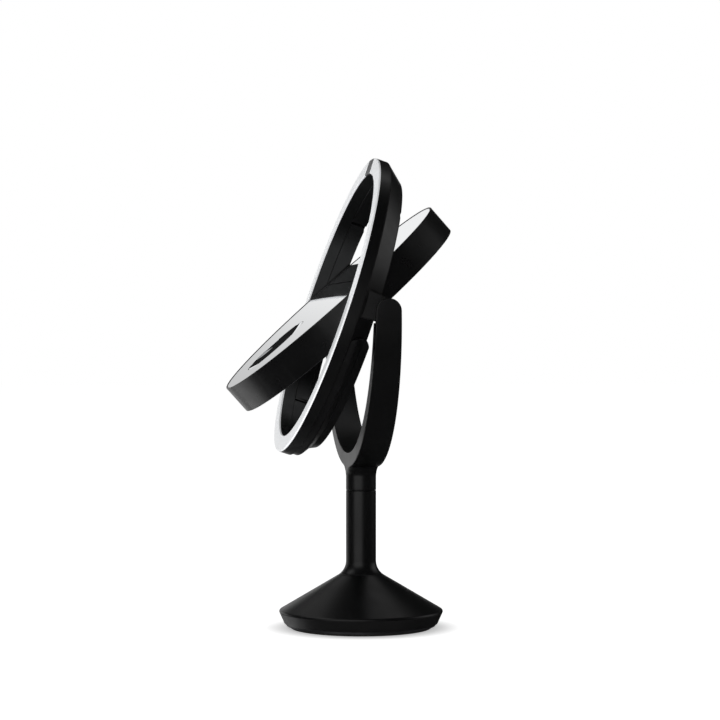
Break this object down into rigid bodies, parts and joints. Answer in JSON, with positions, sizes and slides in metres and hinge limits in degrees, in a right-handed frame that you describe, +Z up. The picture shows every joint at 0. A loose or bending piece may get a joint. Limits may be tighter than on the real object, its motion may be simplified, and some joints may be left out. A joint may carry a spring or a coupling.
{
  "type": "shaving mirror",
  "caption": "Lighted shaving mirror on a weighted cone base: tilting ring light, two-sided disc that turns over inside it, swivelling yoke on a stem that slides up.",
  "frame": {"origin": "centre of the rubber foot's rest face, on the stem's axis", "axes": "+Z up along the stem, -Y is the side the mirror faces, +X to the right of somebody who looks into it"},
  "size_m": [0.1934, 0.1369, 0.2897],
  "materials": {
    "rubber": "matt",
    "bare_steel": "satin",
    "chromed_tube": "polished",
    "cast_weight": "as cast",
    "black_metal": "satin black coating",
    "black_shell": "satin black coating",
    "black_trim": "fine texture",
    "black_plastic": "soft satin",
    "carrier_plastic": "moulded",
    "nylon": "moulded",
    "diffuser": "frosted",
    "sensor_lens": "smoked",
    "circuit_board": "solder mask",
    "white_board": "white solder mask",
    "led_package": "phosphor",
    "battery_wrap": "foil pouch",
    "mirror_glass": "silvered"
  },
  "bodies": {
    "base": {"base_foot": "rubber", "base_plate": "bare_steel", "base_weight": "cast_weight", "base_shell": "black_shell", "base_trim": "black_trim", "base_screws": "bare_steel", "stem_tube": "black_metal", "stem_nut": "bare_steel", "guide_bush": "nylon"},
    "extension": {"inner_tube": "chromed_tube", "slide_bush": "nylon", "swivel_spigot": "chromed_tube", "swivel_washer": "carrier_plastic"},
    "yoke": {"yoke": "black_metal", "swivel_clip": "bare_steel", "pivot_screws": "bare_steel", "friction_washers": "nylon"},
    "head": {"front_frame": "black_plastic", "light_diffuser": "diffuser", "led_board": "white_board", "led_chips": "led_package", "sensor_window": "sensor_lens", "sensor_board": "circuit_board", "rear_cover": "black_plastic", "lower_housing": "black_plastic", "left_liner": "black_plastic", "right_liner": "black_plastic", "left_pivot_block": "black_trim", "right_pivot_block": "black_trim", "block_screws": "bare_steel", "pivot_bushes": "nylon", "axle_bushes": "nylon", "battery_cells": "battery_wrap", "control_board": "circuit_board", "charge_port": "bare_steel"},
    "mirror": {"mirror_rim": "black_plastic", "front_mirror": "mirror_glass", "spot_mirror": "mirror_glass", "back_mirror": "mirror_glass", "mirror_core": "carrier_plastic", "mirror_axles": "bare_steel", "axle_washers": "nylon"}
  },
  "joints": [
    {"name": "height_slide", "type": "slide", "parent": "base", "child": "extension", "axis": [0, 0, 1], "range_m": [0, 0.048]},
    {"name": "neck_swivel", "type": "hinge", "parent": "extension", "child": "yoke", "pos_m": [0, 0, 0.0847], "axis": [0, 0, 1], "continuous": true},
    {"name": "head_tilt", "type": "hinge", "parent": "yoke", "child": "head", "pos_m": [0, 0, 0.1933], "axis": [-1, 0, 0], "range_deg": [-10, 35]},
    {"name": "mirror_flip", "type": "hinge", "parent": "head", "child": "mirror", "pos_m": [0, -0.01443, 0.19699], "axis": [-1, 0, 0], "continuous": true}
  ]
}
